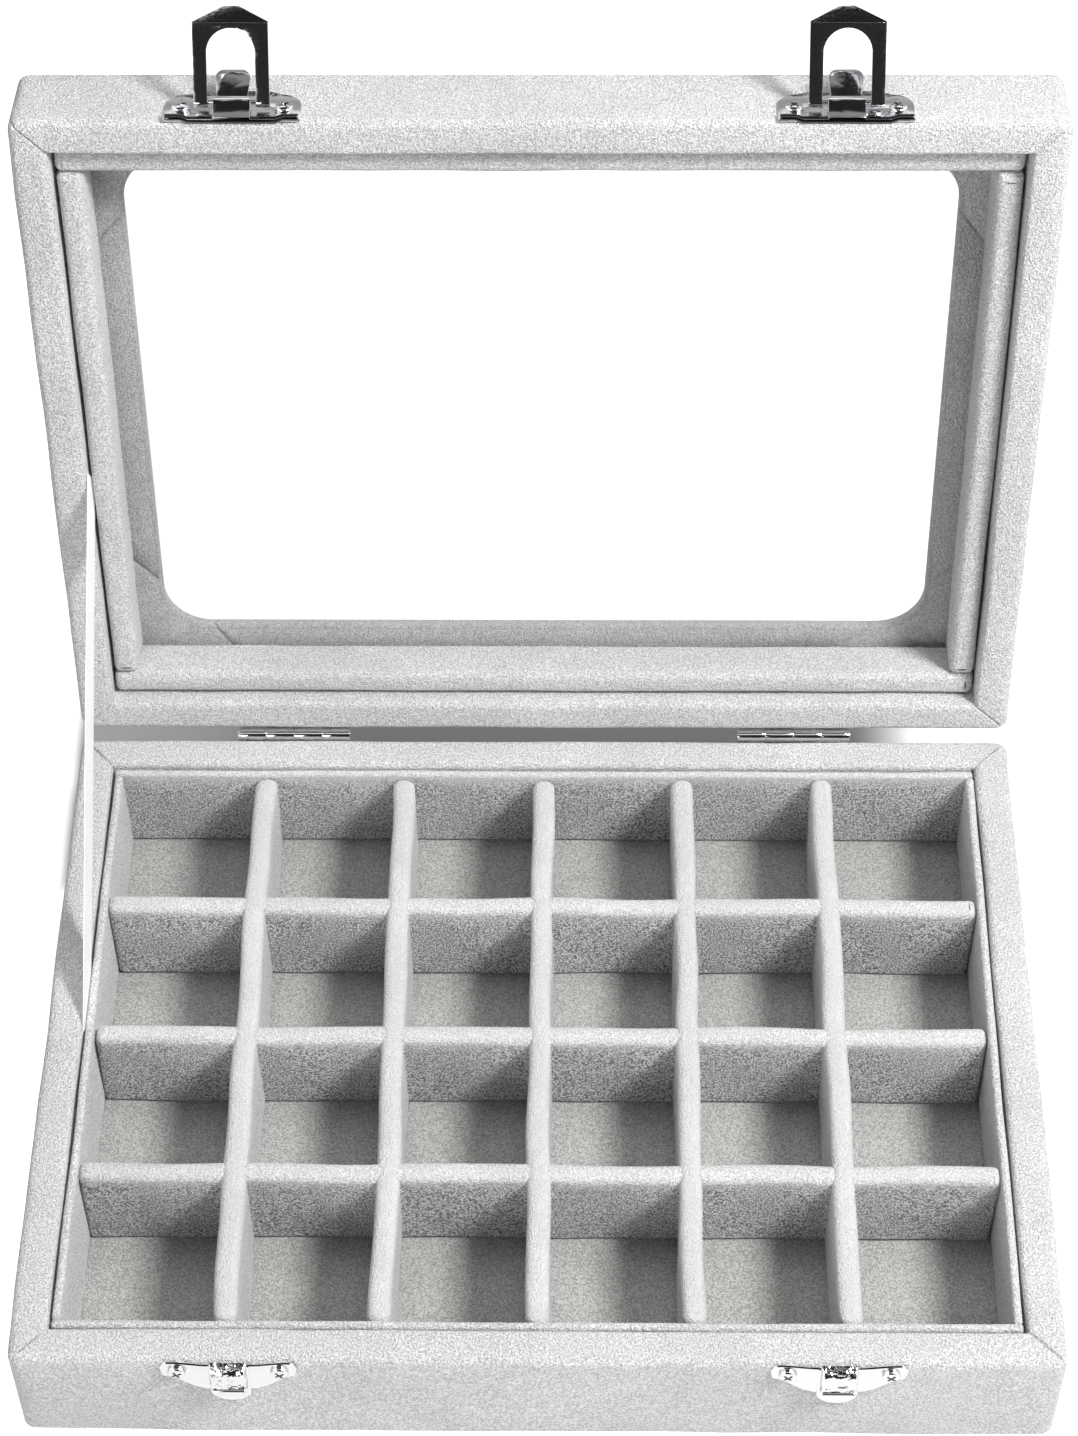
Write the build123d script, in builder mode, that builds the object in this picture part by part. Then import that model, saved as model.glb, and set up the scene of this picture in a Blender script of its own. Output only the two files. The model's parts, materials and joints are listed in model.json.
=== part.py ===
"""A velvet-covered display case: a 24-cell tray, a glazed lid on two hinges, two duck-bill hasps.

Millimetres, +Z up, the front faces -Y. The origin is the centre of the underside. The lid is drawn
shut, on planes that the opened hinge then carries, and each hasp loop is drawn hanging over its
catch, on planes that the opened hasp and then the lid carry.
"""
from build123d import *
from math import cos, radians, sin
import os

os.makedirs("parts", exist_ok=True)

# Case over the velvet
case_width = 200.0
case_depth = 150.0
base_height = 27.6
lid_height = 18.0
rim_gap = 0.3
corner_round = 2.6
rim_round = 1.8
inner_rim_round = 1.2

# Boards, cloth and glass
velvet = 0.6
wall_board = 6.1
bottom_board = 1.8
floor_felt = 0.8
window_board = 1.6
glass = 1.7
glass_slip = 0.3
turn_in = 14.0
edge_soften = 0.45

# Window in the lid
window_width = 163.4
window_depth = 116.6
window_round = 10.0

# Liner strips
base_liner = 1.7
base_liner_drop = 0.9
base_liner_round = 0.8
lid_liner = 5.3
lid_liner_drop = 3.0
lid_liner_round = 1.6
crevice = 0.5
slip = 0.1

# Dividers
columns = 6
rows = 4
long_divider = 4.6
cross_divider = 4.4
divider_drop = 1.4
divider_round = 1.3
end_cell_extra = 3.3

# Lid hinges
lid_open_angle = 100.5
hinge_setback = 1.0
hinge_share = 0.54
hinge_length = 24.3
knuckles = 4
knuckle_radius = 1.3
knuckle_gap = 0.1
hinge_pin_radius = 0.65
pin_fit = 0.05
leaf_sheet = 0.6
leaf_reach = 9.5
leaf_relief = 0.35
leaf_round = 2.0
leaf_screw_spread = 16.0
leaf_screw_reach = 6.2

# Pan-head screws
screw_head_radius = 1.75
screw_head_height = 1.0
screw_head_soften = 0.45
screw_shank_radius = 0.8
screw_shank_length = 5.4
screw_hole_fit = 0.05

# Hasps
hasp_share = 0.575
hasp_open_angle = 115.0
plate_sheet = 0.45
plate_width = 25.6
plate_height = 9.7
plate_lift = 0.1
plate_ear_round = 4.0
hasp_screw_spread = 19.4
hasp_screw_lift = 3.8
hasp_pin_out = 1.85
hasp_pin_lift = 4.2
hasp_pin_radius = 0.5
hasp_knuckle_radius = 1.05
strap_width = 7.0
strap_sheet = 0.45
tongue_lean = 37.0
tongue_length = 6.0
tongue_root = 5.6
tongue_end = 7.1
tongue_round = 1.7

# Hasp loops
loop_width = 14.2
loop_sheet = 0.7
loop_window = 9.1
loop_window_reach = 13.6
loop_bend_reach = 14.6
lip_length = 4.2
lip_flare = 45.0
lip_crown = 4.6

# Catches
catch_shift = -0.5
catch_width = 25.8
catch_wing = 4.6
catch_wing_round = 1.6
catch_wing_taper = 0.3
catch_waist_drop = 0.9
catch_waist_height = 8.8
catch_screw_spread = 19.4
catch_screw_drop = 2.4
catch_tab_width = 7.8
catch_tab_drop = 13.9
catch_tab_sheet = 0.6
hook_width = 6.8
hook_out = 2.2
hook_drop = 0.4
hook_height = 6.9
hook_sheet = 0.5
hook_soften = 0.9
hook_round = 1.7

# Ribbon stay
ribbon_width = 10.0
ribbon_sheet = 0.3
ribbon_base_place = 9.0
ribbon_lid_place = 17.0
ribbon_tail = 8.0

# Sizes that follow
wall = wall_board + 2 * velvet
tray_width = case_width - 2 * wall
tray_depth = case_depth - 2 * wall
cell_field_width = tray_width - 2 * (crevice + base_liner)
cell_field_depth = tray_depth - 2 * (crevice + base_liner)
board_level = velvet + bottom_board
floor_level = board_level + floor_felt
divider_height = base_height - divider_drop - floor_level
window_board_depth = lid_height - velvet - window_board
glass_depth = window_board_depth - velvet
lid_rim_level = base_height + rim_gap
hinge_y = case_depth / 2 + hinge_setback
hinge_z = base_height + rim_gap / 2
front_y = -case_depth / 2
pin_y = front_y - hasp_pin_out
pin_z = lid_rim_level + hasp_pin_lift
hinge_places = (-hinge_share * case_width / 2, hinge_share * case_width / 2)
hasp_places = (-hasp_share * case_width / 2, hasp_share * case_width / 2)
catch_places = [x + catch_shift for x in hasp_places]
catch_waist_top = base_height - catch_waist_drop
catch_waist_bottom = catch_waist_top - catch_waist_height
catch_screw_level = base_height - catch_screw_drop
catch_tab_bottom = base_height - catch_tab_drop
hook_top = base_height - hook_drop
hook_lip_level = hook_top - hook_height


def turned_back(y, z, angle):
    """The move that swings a piece back by angle about an X axis through y, z."""
    return Location((0, y, z)) * Location((0, 0, 0), (-angle, 0, 0)) * Location((0, -y, -z))


lid_swing = turned_back(hinge_y, hinge_z, lid_open_angle)
hasp_swing = lid_swing * turned_back(pin_y, pin_z, hasp_open_angle)


def in_base(plane):
    """A plane of the base stays where it is."""
    return plane


def in_lid(plane):
    """A plane of the shut lid, carried by the opened lid."""
    return Plane(lid_swing * plane.location)


def in_hasp(plane):
    """A plane of a latched loop, carried by the opened hasp and lid."""
    return Plane(hasp_swing * plane.location)


def front_plane(x, z, out=0.0):
    """A plane on the front wall at x, z, facing out of it, with its y up."""
    return Plane(origin=(x, front_y - out, z), x_dir=(1, 0, 0), z_dir=(0, -1, 0))


def rear_plane(x, z, out=0.0):
    """A plane on the rear wall at x, z, facing out of it, with its y up."""
    return Plane(origin=(x, -front_y + out, z), x_dir=(-1, 0, 0), z_dir=(0, 1, 0))


def side_plane(x, y, z):
    """A plane across the front wall at x, with its x out of the wall and its y up."""
    return Plane(origin=(x, y, z), x_dir=(0, -1, 0), z_dir=(-1, 0, 0))


def keep(block, name):
    """Names a finished piece and writes it to parts."""
    block.part.label = name
    export_step(block.part, f"parts/{name}.step")


def rim_face(block, rim, inward):
    """The face of a block that lies nearest a tray's rim."""
    return block.faces().sort_by(Axis(rim.origin, rim.z_dir * -inward))[-1]


def drill(seats, depth):
    """Drills the screw holes of a set of seats through the part being made."""
    with Locations(*[seat.location for seat in seats]):
        Hole(screw_shank_radius + screw_hole_fit, depth)


base_rim = Plane.XY.offset(base_height)
lid_rim = in_lid(Plane.XY.offset(lid_rim_level))

# Screw seats, each a plane on the metal under a screw's head
catch_seats = [
    front_plane(x + side * catch_screw_spread / 2, catch_screw_level, plate_sheet)
    for x in catch_places
    for side in (-1, 1)
]
hasp_seats = [
    in_lid(front_plane(x + side * hasp_screw_spread / 2, lid_rim_level + hasp_screw_lift, plate_sheet))
    for x in hasp_places
    for side in (-1, 1)
]
base_leaf_seats = [
    rear_plane(x + side * leaf_screw_spread / 2, hinge_z - leaf_screw_reach, leaf_sheet)
    for x in hinge_places
    for side in (-1, 1)
]
lid_leaf_seats = [
    in_lid(rear_plane(x + side * leaf_screw_spread / 2, hinge_z + leaf_screw_reach, leaf_sheet))
    for x in hinge_places
    for side in (-1, 1)
]


# Wall boards: one ring of board per tray, mitred into four
def wall_ring(rim, inward, depth):
    """The boards of a tray as one ring, from under the rim's velvet down to depth."""
    with BuildPart() as ring:
        with BuildSketch(rim.offset(inward * velvet)):
            RectangleRounded(case_width - 2 * velvet, case_depth - 2 * velvet, corner_round - velvet)
            Rectangle(tray_width + 2 * velvet, tray_depth + 2 * velvet, mode=Mode.SUBTRACT)
        extrude(amount=inward * (depth - velvet))
        fillet(rim_face(ring, rim, inward).outer_wire().edges(), rim_round - velvet)
        fillet(rim_face(ring, rim, inward).inner_wires()[0].edges(), inner_rim_round - velvet)
    return ring.part


def mitre_corners(side):
    """Corners of the plan region of one side of a tray, cut at 45 degrees at both ends."""
    x, y, reach = case_width / 2, case_depth / 2, 2 * wall
    corner = (-x - reach, -y - reach)
    foot = (-x + reach, -y + reach)
    front = [corner, (x + reach, -y - reach), (x - reach, -y + reach), foot]
    left = [corner, foot, (-x + reach, y - reach), (-x - reach, y + reach)]
    return {
        "front": front,
        "rear": [(px, -py) for px, py in front],
        "left": left,
        "right": [(-px, py) for px, py in left],
    }[side]


def mitred_boards(tray, ring, rim, inward, seats):
    """Cuts a ring into its four boards and drills the boards that carry metal."""
    for side in ("front", "rear", "left", "right"):
        with BuildPart() as board:
            add(ring)
            with BuildSketch(rim):
                with BuildLine():
                    Polyline(*mitre_corners(side), close=True)
                make_face()
            extrude(amount=inward * base_height, mode=Mode.INTERSECT)
            if side in seats:
                drill(seats[side], wall_board)
        keep(board, f"{tray}_{side}_board")


base_ring = wall_ring(base_rim, -1, base_height - board_level)
lid_ring = wall_ring(lid_rim, 1, window_board_depth)
mitred_boards("base", base_ring, base_rim, -1, {"front": catch_seats, "rear": base_leaf_seats})
mitred_boards("lid", lid_ring, lid_rim, 1, {"front": hasp_seats, "rear": lid_leaf_seats})

# Base bottom board
with BuildPart() as base_bottom_board:
    with BuildSketch(Plane.XY.offset(velvet)):
        RectangleRounded(case_width - 2 * velvet, case_depth - 2 * velvet, corner_round - velvet)
    extrude(amount=bottom_board)
keep(base_bottom_board, "base_bottom_board")

# Underside sheet, laid inside the velvet that is turned in under the bottom
with BuildPart() as base_underside_sheet:
    with BuildSketch(Plane.XY):
        Rectangle(case_width - 2 * turn_in - 2 * slip, case_depth - 2 * turn_in - 2 * slip)
    extrude(amount=velvet)
keep(base_underside_sheet, "base_underside_sheet")

# Base velvet: up the outside, over the rim, down the inside and in under the bottom
with BuildPart() as base_velvet_wrap:
    with BuildSketch(Plane.XY):
        RectangleRounded(case_width, case_depth, corner_round)
    extrude(amount=base_height)
    fillet(base_velvet_wrap.faces().sort_by(Axis.Z)[-1].edges(), rim_round)
    fillet(base_velvet_wrap.faces().sort_by(Axis.Z)[0].edges(), edge_soften)
    with BuildSketch(base_rim):
        Rectangle(tray_width, tray_depth)
    extrude(amount=board_level - base_height, mode=Mode.SUBTRACT)
    fillet(rim_face(base_velvet_wrap, base_rim, -1).inner_wires()[0].edges(), inner_rim_round)
    add(base_ring, mode=Mode.SUBTRACT)
    add(base_bottom_board.part, mode=Mode.SUBTRACT)
    with BuildSketch(Plane.XY):
        Rectangle(case_width - 2 * turn_in, case_depth - 2 * turn_in)
    extrude(amount=velvet, mode=Mode.SUBTRACT)
    drill(catch_seats + base_leaf_seats, plate_sheet + 2 * velvet)
keep(base_velvet_wrap, "base_velvet_wrap")

# Floor felt, one sheet under all the cells
with BuildPart() as floor_felt_sheet:
    with BuildSketch(Plane.XY.offset(board_level)):
        Rectangle(tray_width - 2 * slip, tray_depth - 2 * slip)
    extrude(amount=floor_felt)
keep(floor_felt_sheet, "floor_felt")


# Liner strips: front and rear run the whole width, left and right stand between them
def liner_strips(tray, rim, inward, foot, thick, drop, rounding):
    """The four padded strips of a tray, from a drop below the rim to their foot."""
    across = tray_width - 2 * crevice
    along = tray_depth - 2 * (crevice + thick + slip)
    x = (across - thick) / 2
    y = (tray_depth - thick) / 2 - crevice
    plans = {
        "front": ((0, -y), across, thick),
        "rear": ((0, y), across, thick),
        "left": ((-x, 0), thick, along),
        "right": ((x, 0), thick, along),
    }
    for side, (centre, width, depth) in plans.items():
        with BuildPart() as strip:
            with BuildSketch(rim.offset(inward * drop)):
                with Locations(centre):
                    Rectangle(width, depth)
            extrude(amount=inward * (foot - drop))
            fillet(rim_face(strip, rim, inward).edges(), rounding)
        keep(strip, f"{tray}_{side}_liner")


liner_strips(
    "base",
    base_rim,
    -1,
    base_height - floor_level,
    base_liner,
    base_liner_drop,
    base_liner_round,
)
liner_strips("lid", lid_rim, 1, glass_depth - glass, lid_liner, lid_liner_drop, lid_liner_round)


# Dividers, half-lapped: the long ones are slotted from below, the cross ones from above
def divider_places(field, count, sheet):
    """Centres of the dividers that part a field into count cells, the end cells a little larger."""
    cell = (field - (count - 1) * sheet - 2 * end_cell_extra) / count
    first = end_cell_extra + cell + sheet / 2 - field / 2
    return [first + i * (cell + sheet) for i in range(count - 1)]


long_places = divider_places(cell_field_width, columns, long_divider)
cross_places = divider_places(cell_field_depth, rows, cross_divider)
divider_plane = Plane.XY.offset(floor_level)
lap_plane = Plane.XY.offset(floor_level + divider_height / 2)

for number, x in enumerate(long_places, start=1):
    with BuildPart() as divider:
        with BuildSketch(divider_plane):
            with Locations((x, 0)):
                Rectangle(long_divider, cell_field_depth - 2 * slip)
        extrude(amount=divider_height)
        fillet(divider.faces().sort_by(Axis.Z)[-1].edges().filter_by(Axis.Y), divider_round)
        with BuildSketch(divider_plane):
            with Locations(*[(x, y) for y in cross_places]):
                Rectangle(2 * long_divider, cross_divider + 2 * slip)
        extrude(amount=divider_height / 2 + slip, mode=Mode.SUBTRACT)
    keep(divider, f"long_divider_{number}")

for number, y in enumerate(cross_places, start=1):
    with BuildPart() as divider:
        with BuildSketch(divider_plane):
            with Locations((0, y)):
                Rectangle(cell_field_width - 2 * slip, cross_divider)
        extrude(amount=divider_height)
        fillet(divider.faces().sort_by(Axis.Z)[-1].edges().filter_by(Axis.X), divider_round)
        with BuildSketch(lap_plane):
            with Locations(*[(x, y) for x in long_places]):
                Rectangle(long_divider + 2 * slip, 2 * cross_divider)
        extrude(amount=divider_height, mode=Mode.SUBTRACT)
    keep(divider, f"cross_divider_{number}")

# Lid top board with its rounded window
with BuildPart() as lid_window_board:
    with BuildSketch(lid_rim.offset(window_board_depth)):
        RectangleRounded(case_width - 2 * velvet, case_depth - 2 * velvet, corner_round - velvet)
        RectangleRounded(
            window_width + 2 * velvet,
            window_depth + 2 * velvet,
            window_round + velvet,
            mode=Mode.SUBTRACT,
        )
    extrude(amount=window_board)
keep(lid_window_board, "lid_window_board")

# Lid wall velvet: up the outside, over the rim and down the inside
with BuildPart() as lid_velvet_wrap:
    with BuildSketch(lid_rim):
        RectangleRounded(case_width, case_depth, corner_round)
    extrude(amount=lid_height - velvet)
    fillet(rim_face(lid_velvet_wrap, lid_rim, 1).edges(), rim_round)
    with BuildSketch(lid_rim):
        Rectangle(tray_width, tray_depth)
    extrude(amount=glass_depth, mode=Mode.SUBTRACT)
    fillet(rim_face(lid_velvet_wrap, lid_rim, 1).inner_wires()[0].edges(), inner_rim_round)
    with BuildSketch(lid_rim.offset(glass_depth)):
        Rectangle(tray_width + 2 * velvet, tray_depth + 2 * velvet)
    extrude(amount=lid_height, mode=Mode.SUBTRACT)
    add(lid_ring, mode=Mode.SUBTRACT)
    with BuildSketch(lid_rim.offset(window_board_depth)):
        RectangleRounded(case_width - 2 * velvet, case_depth - 2 * velvet, corner_round - velvet)
    extrude(amount=lid_height, mode=Mode.SUBTRACT)
    drill(hasp_seats + lid_leaf_seats, plate_sheet + 2 * velvet)
keep(lid_velvet_wrap, "lid_velvet_wrap")

# Window velvet: over the top board, round the window's edge and back along its inner face
with BuildPart() as lid_window_velvet:
    with BuildSketch(lid_rim.offset(glass_depth)):
        Rectangle(tray_width + 2 * velvet, tray_depth + 2 * velvet)
    extrude(amount=velvet)
    with BuildSketch(lid_rim.offset(glass_depth)):
        RectangleRounded(window_width + 2 * velvet, window_depth + 2 * velvet, window_round + velvet)
    extrude(amount=window_board + 2 * velvet)
    with BuildSketch(lid_rim.offset(lid_height - velvet)):
        RectangleRounded(case_width, case_depth, corner_round)
    extrude(amount=velvet)
    fillet(rim_face(lid_window_velvet, lid_rim, -1).outer_wire().edges(), edge_soften)
    with BuildSketch(lid_rim.offset(glass_depth)):
        RectangleRounded(window_width, window_depth, window_round)
    extrude(amount=lid_height, mode=Mode.SUBTRACT)
    fillet(rim_face(lid_window_velvet, lid_rim, -1).inner_wires()[0].edges(), edge_soften)
keep(lid_window_velvet, "lid_window_velvet")

# Pane, held against the window velvet by the lid's liners
with BuildPart() as window_glass:
    with BuildSketch(lid_rim.offset(glass_depth - glass)):
        Rectangle(tray_width - 2 * glass_slip, tray_depth - 2 * glass_slip)
    extrude(amount=glass)
keep(window_glass, "window_glass")


# Hinges: a sheet leaf on each rear wall, its knuckles rolled round one pin
def hinge_leaf(place, carried, upward, first_knuckle):
    """One leaf with every other knuckle, lying down the base's wall or up the lid's."""
    pitch = hinge_length / knuckles
    knuckle = pitch - knuckle_gap
    relief = knuckle_radius + leaf_relief
    own = [(i + 0.5) * pitch - hinge_length / 2 for i in range(first_knuckle, knuckles, 2)]
    wall_face = carried(rear_plane(place, hinge_z))
    screw_level = hinge_z + upward * leaf_screw_reach
    with BuildPart() as leaf:
        with BuildSketch(wall_face) as outline:
            with Locations((0, upward * (leaf_reach + relief) / 2)):
                Rectangle(hinge_length, leaf_reach - relief)
            fillet(outline.vertices().group_by(Axis.Y)[-1 if upward > 0 else 0], leaf_round)
            with Locations(*[(-x, upward * relief / 2) for x in own]):
                Rectangle(knuckle, relief)
        extrude(amount=leaf_sheet)
        for x in own:
            with BuildSketch(carried(barrel_plane(place + x))):
                Circle(knuckle_radius)
            extrude(amount=knuckle / 2, both=True)
        with BuildSketch(carried(barrel_plane(place))):
            Circle(hinge_pin_radius + pin_fit)
        extrude(amount=hinge_length, both=True, mode=Mode.SUBTRACT)
        offsets = (-leaf_screw_spread / 2, leaf_screw_spread / 2)
        drill([carried(rear_plane(place + x, screw_level, leaf_sheet)) for x in offsets], leaf_sheet)
    return leaf


def barrel_plane(x):
    """A plane across the hinge line at x."""
    return Plane(origin=(x, hinge_y, hinge_z), x_dir=(0, 1, 0), z_dir=(1, 0, 0))


for hand, place in zip(("left", "right"), hinge_places):
    keep(hinge_leaf(place, in_base, -1, 0), f"{hand}_hinge_base_leaf")
    keep(hinge_leaf(place, in_lid, 1, 1), f"{hand}_hinge_lid_leaf")
    with BuildPart() as hinge_pin:
        with BuildSketch(barrel_plane(place)):
            Circle(hinge_pin_radius)
        extrude(amount=hinge_length / 2, both=True)
    keep(hinge_pin, f"{hand}_hinge_pin")


# Screws, a set to each kind of plate
def pan_head_screws(seats, outward):
    """Screws on their seats, heads out of the metal and shanks into the wall board."""
    with BuildPart() as screws:
        with BuildSketch(*seats):
            Circle(screw_head_radius)
        extrude(amount=screw_head_height)
        chamfer(screws.faces().group_by(outward)[-1].edges(), screw_head_soften)
        with BuildSketch(*seats):
            Circle(screw_shank_radius)
        extrude(amount=-screw_shank_length)
    return screws


keep(pan_head_screws(catch_seats, Axis((0, 0, 0), (0, -1, 0))), "catch_screws")
keep(pan_head_screws(hasp_seats, Axis((0, 0, 0), hasp_seats[0].z_dir)), "hasp_screws")
keep(pan_head_screws(base_leaf_seats, Axis.Y), "hinge_base_screws")
keep(pan_head_screws(lid_leaf_seats, Axis((0, 0, 0), lid_leaf_seats[0].z_dir)), "hinge_lid_screws")


# Hasp plates: a flat plate, a strap folded out over the pin, and a thumb tongue
def hasp_plate(place):
    """One plate with its rolled strap and its tongue leaning off the wall."""
    half, ear = plate_width / 2, plate_ear_round
    foot = plate_lift - hasp_pin_lift
    back = -hasp_pin_out
    lean = radians(tongue_lean)
    radius = hasp_knuckle_radius
    with BuildPart() as plate:
        with BuildSketch(in_lid(front_plane(place, lid_rim_level + plate_lift))):
            with BuildLine():
                Polyline(
                    (0, plate_height + 1),
                    (-half / 2, plate_height + 0.8),
                    (-half + ear, plate_height - 0.4),
                )
                ThreePointArc(
                    (-half + ear, plate_height - 0.4),
                    (-half + 0.3 * ear, plate_height - 0.4 - 0.3 * ear),
                    (-half, plate_height - 0.4 - ear),
                )
                Polyline((-half, plate_height - 0.4 - ear), (-half, 0), (0, 0))
                mirror(about=Plane.YZ)
            make_face()
        extrude(amount=plate_sheet)
        with BuildSketch(in_lid(side_plane(place, pin_y, pin_z))):
            with BuildLine():
                Polyline(
                    (back, foot),
                    (back + plate_sheet + strap_sheet, foot),
                    (radius, -radius),
                    (radius, 0),
                    (radius - strap_sheet, 0),
                    (radius - strap_sheet, -radius),
                    (back + plate_sheet, foot + strap_sheet),
                    (back, foot + strap_sheet),
                    close=True,
                )
            make_face()
            Circle(radius)
        extrude(amount=strap_width / 2, both=True)
        root = Plane(
            origin=(place, pin_y, pin_z + radius - strap_sheet),
            x_dir=(1, 0, 0),
            z_dir=(0, -cos(lean), -sin(lean)),
        )
        with BuildSketch(in_lid(root)) as tongue:
            with BuildLine():
                Polyline(
                    (-tongue_root / 2, 0),
                    (-tongue_end / 2, tongue_length),
                    (tongue_end / 2, tongue_length),
                    (tongue_root / 2, 0),
                    close=True,
                )
            make_face()
            fillet(tongue.vertices().group_by(Axis.Y)[-1], tongue_round)
        extrude(amount=strap_sheet)
        with BuildSketch(in_lid(side_plane(place, pin_y, pin_z))):
            Circle(hasp_pin_radius + pin_fit)
        extrude(amount=strap_width, both=True, mode=Mode.SUBTRACT)
        seats = [
            in_lid(front_plane(place + x, lid_rim_level + hasp_screw_lift, plate_sheet))
            for x in (-hasp_screw_spread / 2, hasp_screw_spread / 2)
        ]
        drill(seats, plate_sheet)
    return plate


# Hasp loops: rolled knuckles, two legs, a round-headed window, a bend and a flared lip
def hasp_loop(place):
    """One loop, drawn hanging from its pin and carried by the opened hasp."""
    radius = hasp_knuckle_radius
    flare = radians(lip_flare)
    back = -radius
    half = loop_width / 2
    tip = (back + lip_length * sin(flare), -loop_bend_reach - lip_length * cos(flare))
    tip_out = (tip[0] + loop_sheet * cos(flare), tip[1] + loop_sheet * sin(flare))
    inner_bend = -loop_bend_reach + loop_sheet * (1 - cos(flare)) / sin(flare)
    shoulder = -loop_bend_reach - 0.2
    crown_side = tip[1] + 0.5
    window_centre = loop_window / 2 - loop_window_reach
    hanging = in_hasp(side_plane(place, pin_y, pin_z))
    facing = in_hasp(front_plane(place, pin_z, hasp_pin_out))
    with BuildPart() as loop:
        with BuildSketch(hanging):
            with BuildLine():
                Polyline(
                    (back, 0),
                    (back, -loop_bend_reach),
                    tip,
                    tip_out,
                    (back + loop_sheet, inner_bend),
                    (back + loop_sheet, 0),
                    close=True,
                )
            make_face()
            Circle(radius)
            Circle(hasp_pin_radius + pin_fit, mode=Mode.SUBTRACT)
        extrude(amount=half, both=True)
        with BuildSketch(facing):
            with BuildLine():
                Polyline(
                    (-lip_crown / 2, crown_side),
                    (-half, shoulder),
                    (-half, 2 * radius),
                    (half, 2 * radius),
                    (half, shoulder),
                    (lip_crown / 2, crown_side),
                )
                ThreePointArc(
                    (lip_crown / 2, crown_side),
                    (0, tip[1] - 0.1),
                    (-lip_crown / 2, crown_side),
                )
            make_face()
        extrude(amount=loop_width, both=True, mode=Mode.INTERSECT)
        with BuildSketch(facing):
            with Locations((0, window_centre)):
                Circle(loop_window / 2)
            with Locations((0, (window_centre + 2 * radius) / 2)):
                Rectangle(loop_window, 2 * radius - window_centre)
        extrude(amount=2 * radius, both=True, mode=Mode.SUBTRACT)
    return loop


for hand, place in zip(("left", "right"), hasp_places):
    keep(hasp_plate(place), f"{hand}_hasp_plate")
    keep(hasp_loop(place), f"{hand}_hasp_loop")
    with BuildPart() as hasp_pin:
        with BuildSketch(in_lid(side_plane(place, pin_y, pin_z))):
            Circle(hasp_pin_radius)
        extrude(amount=loop_width / 2, both=True)
    keep(hasp_pin, f"{hand}_hasp_pin")


# Catches: a bow-tie plate, a half-round tab and a hollow pressed hook over it
def hook_dome(place, inset):
    """The domed volume of a catch's hook, its skin moved in by inset."""
    out = hook_out - inset
    top = hook_top - 2 * inset
    throat = hook_lip_level + hook_out / 2
    with BuildPart() as dome:
        with BuildSketch(Plane.XY.offset(hook_lip_level - inset)):
            with Locations((place, front_y)):
                RectangleRounded(hook_width - 2 * inset, 2 * out, hook_soften)
        extrude(amount=hook_top - hook_lip_level + inset)
        with BuildSketch(side_plane(place, front_y, 0)):
            with BuildLine():
                Polyline((0, top), (0, 0), (out, 0), (out, throat))
                ThreePointArc((out, throat), (0.82 * out, top - 1.3), (0, top))
            make_face()
        extrude(amount=hook_width, both=True, mode=Mode.INTERSECT)
    return dome.part


def catch(place):
    """One catch on the base's front wall."""
    half = catch_width / 2
    waist = catch_tab_width / 2
    turn = catch_wing_round
    foot = half - catch_wing_taper
    wing_bottom = base_height - catch_wing
    tab_centre = catch_tab_bottom + waist
    tab_rise = catch_waist_top - tab_centre
    hook_rise = hook_top - hook_lip_level
    with BuildPart() as plate:
        add(hook_dome(place, 0))
        with BuildSketch(front_plane(place, hook_lip_level)):
            with Locations((0, hook_rise)):
                RectangleRounded(hook_width, 2 * hook_rise, hook_round)
        extrude(amount=2 * hook_out, mode=Mode.INTERSECT)
        add(hook_dome(place, hook_sheet), mode=Mode.SUBTRACT)
        with BuildSketch(front_plane(place, 0)):
            with BuildLine():
                Line((0, catch_waist_top), (waist, catch_waist_top))
                Spline(
                    (waist, catch_waist_top),
                    (half - turn, base_height),
                    tangents=((1, 0.05), (1, 0)),
                )
                RadiusArc((half - turn, base_height), (half, base_height - turn), turn)
                Line((half, base_height - turn), (foot, wing_bottom + turn / 2))
                RadiusArc((foot, wing_bottom + turn / 2), (foot - turn / 2, wing_bottom), turn / 2)
                Spline(
                    (foot - turn / 2, wing_bottom),
                    (waist, catch_waist_bottom),
                    tangents=((-1, -0.4), (-1, -0.15)),
                )
                Line((waist, catch_waist_bottom), (0, catch_waist_bottom))
                mirror(about=Plane.YZ)
            make_face()
        extrude(amount=plate_sheet)
        with BuildSketch(front_plane(place, tab_centre)):
            Circle(waist)
            with Locations((0, tab_rise / 2)):
                Rectangle(catch_tab_width, tab_rise)
        extrude(amount=catch_tab_sheet)
        offsets = (-catch_screw_spread / 2, catch_screw_spread / 2)
        drill([front_plane(place + x, catch_screw_level, plate_sheet) for x in offsets], plate_sheet)
    return plate


for hand, place in zip(("left", "right"), catch_places):
    keep(catch(place), f"{hand}_catch")

# Ribbon stay on the left, drawn tight, its tails glued between the walls and the liners
ribbon_x = -(tray_width - crevice) / 2
base_anchor = Vector(ribbon_x, ribbon_base_place, base_height)
lid_anchor = in_lid(Plane(origin=(ribbon_x, ribbon_lid_place, lid_rim_level))).origin
ribbon_run = (lid_anchor - base_anchor).length
ribbon_plane = Plane(
    origin=(base_anchor + lid_anchor) / 2,
    x_dir=(lid_anchor - base_anchor).normalized(),
    z_dir=(1, 0, 0),
)
with BuildPart() as lid_stay_ribbon:
    with BuildSketch(ribbon_plane):
        Rectangle(ribbon_run + 2 * ribbon_tail, ribbon_width)
    extrude(amount=ribbon_sheet / 2, both=True)
keep(lid_stay_ribbon, "lid_stay_ribbon")
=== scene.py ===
"""The looks of a velvet jewelry box: velvet, felt, glass, satin ribbon and plated metal."""
import bpy
import json
from math import cos, pi, radians, sin
from mathutils import Matrix, Vector, noise

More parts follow.
